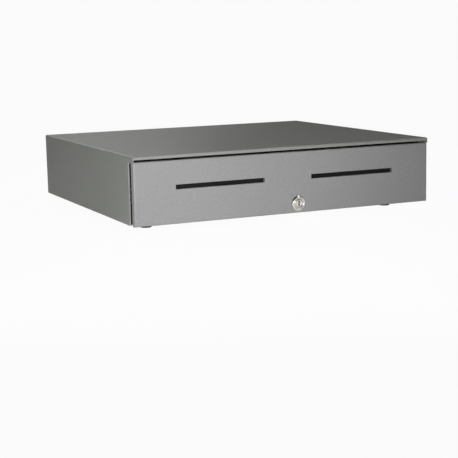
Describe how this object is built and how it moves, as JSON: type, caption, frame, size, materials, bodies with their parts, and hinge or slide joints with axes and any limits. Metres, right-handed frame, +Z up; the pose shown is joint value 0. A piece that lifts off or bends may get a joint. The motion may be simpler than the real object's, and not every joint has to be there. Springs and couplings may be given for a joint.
{
  "type": "cash drawer",
  "caption": "Flat steel cash drawer in a folded case: full-width front with media slots and key lock, on ball slides, with a money till and an electric latch.",
  "frame": {"origin": "centre of the footprint, on the surface that the feet stand on", "axes": "+X to the cashier's right across the front, -Y out of the drawer's front, +Z up"},
  "size_m": [0.478, 0.436, 0.109],
  "materials": {
    "cover_paint": "fine textured powder coat, satin",
    "front_paint": "fine textured powder coat, satin",
    "pan_paint": "smooth black powder coat",
    "tray_paint": "smooth black powder coat",
    "zinc_rail": "bright zinc plate on rolled steel",
    "zinc_screw": "bright zinc plate",
    "black_screw": "black oxide",
    "folded_zinc": "galvanised sheet, matt",
    "rubber_black": "moulded rubber, matt",
    "lock_chrome": "polished chrome plate",
    "abs_black": "moulded ABS, fine texture",
    "cup_grey": "moulded ABS, fine texture",
    "weight_black": "moulded acetal",
    "spring_steel": "spring steel wire",
    "copper_coil": "enamelled copper wire under tape",
    "board_green": "solder mask",
    "switch_black": "moulded thermoset",
    "jack_black": "moulded nylon",
    "lead_red": "PVC insulation",
    "acetal_white": "moulded acetal"
  },
  "bodies": {
    "case": {"case_cover": "cover_paint", "base_pan": "pan_paint", "rubber_feet": "rubber_black", "case_screws": "black_screw", "foot_screws": "zinc_screw", "fixed_rail_left": "zinc_rail", "fixed_rail_right": "zinc_rail", "fixed_rail_screws": "zinc_screw", "latch_bracket": "folded_zinc", "latch_pin": "zinc_screw", "latch_spring": "spring_steel", "solenoid_frame": "folded_zinc", "solenoid_coil": "copper_coil", "drawer_switch": "switch_black", "switch_stand": "folded_zinc", "kick_bracket": "folded_zinc", "kick_spring": "spring_steel", "interface_board": "board_green", "interface_jack": "jack_black", "latch_leads": "lead_red"},
    "drawer": {"drawer_tray": "tray_paint", "drawer_front": "front_paint", "front_standoffs": "zinc_screw", "front_screws": "zinc_screw", "till_rails": "tray_paint", "lock_body": "lock_chrome", "lock_nut": "zinc_screw", "lock_guard": "tray_paint", "till_body": "abs_black", "bill_dividers": "abs_black", "weight_shaft": "zinc_screw", "weight_springs": "spring_steel", "latch_strike": "folded_zinc", "moving_rail_left": "zinc_rail", "moving_rail_right": "zinc_rail", "tray_screws": "zinc_screw", "media_chute_left": "abs_black", "media_chute_right": "abs_black", "coin_cup_1": "cup_grey", "coin_cup_2": "cup_grey", "coin_cup_3": "cup_grey", "coin_cup_4": "cup_grey", "coin_cup_5": "cup_grey"},
    "middle_rail_left": {"middle_rail_left": "zinc_rail"},
    "middle_rail_right": {"middle_rail_right": "zinc_rail"},
    "outer_cages": {"outer_ball_cages": "spring_steel"},
    "inner_cages": {"inner_ball_cages": "spring_steel"},
    "lock_turning": {"lock_plug": "lock_chrome", "lock_cam": "zinc_rail", "cam_screw": "zinc_screw"},
    "latch": {"latch_lever": "folded_zinc"},
    "solenoid_armature": {"solenoid_plunger": "zinc_screw"},
    "kicker": {"kick_rod": "acetal_white"},
    "switch_leaf": {"switch_lever": "spring_steel"},
    "weight_1": {"bill_weight_1": "weight_black"},
    "weight_2": {"bill_weight_2": "weight_black"},
    "weight_3": {"bill_weight_3": "weight_black"},
    "weight_4": {"bill_weight_4": "weight_black"},
    "weight_5": {"bill_weight_5": "weight_black"}
  },
  "joints": [
    {"name": "drawer_slide", "type": "slide", "parent": "case", "child": "drawer", "axis": [0, -1, 0], "range_m": [0, 0.34]},
    {"name": "middle_rail_left_slide", "type": "slide", "parent": "case", "child": "middle_rail_left", "axis": [0, -1, 0], "range_m": [0, 0.17]},
    {"name": "middle_rail_right_slide", "type": "slide", "parent": "case", "child": "middle_rail_right", "axis": [0, -1, 0], "range_m": [0, 0.17]},
    {"name": "outer_cages_roll", "type": "slide", "parent": "case", "child": "outer_cages", "axis": [0, -1, 0], "range_m": [0, 0.085]},
    {"name": "inner_cages_roll", "type": "slide", "parent": "case", "child": "inner_cages", "axis": [0, -1, 0], "range_m": [0, 0.255]},
    {"name": "lock_turn", "type": "hinge", "parent": "drawer", "child": "lock_turning", "pos_m": [0.015, -0.214, 0.0255], "axis": [0, 1, 0], "range_deg": [0, 90]},
    {"name": "latch_rock", "type": "hinge", "parent": "case", "child": "latch", "pos_m": [-0.006, 0.178, 0.062], "axis": [0, 1, 0], "range_deg": [-11, 0], "deforming": ["latch_spring"]},
    {"name": "armature_slide", "type": "slide", "parent": "case", "child": "solenoid_armature", "axis": [0, 0, 1], "range_m": [0, 0.00458]},
    {"name": "kick_out", "type": "slide", "parent": "case", "child": "kicker", "axis": [0, -1, 0], "range_m": [0, 0.02], "deforming": ["kick_spring"]},
    {"name": "switch_leaf_spring", "type": "hinge", "parent": "case", "child": "switch_leaf", "pos_m": [0.071, 0.16455, 0.042], "axis": [0, 0, 1], "range_deg": [0, 10]},
    {"name": "weight_1_lift", "type": "hinge", "parent": "drawer", "child": "weight_1", "pos_m": [-0.17552, 0.1415, 0.089], "axis": [-1, 0, 0], "range_deg": [0, 28], "deforming": ["weight_springs"]},
    {"name": "weight_2_lift", "type": "hinge", "parent": "drawer", "child": "weight_2", "pos_m": [-0.08776, 0.1415, 0.089], "axis": [-1, 0, 0], "range_deg": [0, 28], "deforming": ["weight_springs"]},
    {"name": "weight_3_lift", "type": "hinge", "parent": "drawer", "child": "weight_3", "pos_m": [0, 0.1415, 0.089], "axis": [-1, 0, 0], "range_deg": [0, 28], "deforming": ["weight_springs"]},
    {"name": "weight_4_lift", "type": "hinge", "parent": "drawer", "child": "weight_4", "pos_m": [0.08776, 0.1415, 0.089], "axis": [-1, 0, 0], "range_deg": [0, 28], "deforming": ["weight_springs"]},
    {"name": "weight_5_lift", "type": "hinge", "parent": "drawer", "child": "weight_5", "pos_m": [0.17552, 0.1415, 0.089], "axis": [-1, 0, 0], "range_deg": [0, 28], "deforming": ["weight_springs"]}
  ],
  "couplings": [
    {"joint": "middle_rail_left_slide", "follows": "drawer_slide", "ratio": 0.5},
    {"joint": "middle_rail_right_slide", "follows": "drawer_slide", "ratio": 0.5},
    {"joint": "outer_cages_roll", "follows": "drawer_slide", "ratio": 0.25},
    {"joint": "inner_cages_roll", "follows": "drawer_slide", "ratio": 0.75},
    {"joint": "armature_slide", "follows": "latch_rock", "m_per_rad": -0.023853},
    {"joint": "kick_out", "follows": "drawer_slide", "ratio": 0.058824},
    {"joint": "switch_leaf_spring", "follows": "drawer_slide", "rad_per_m": 0.51333}
  ]
}
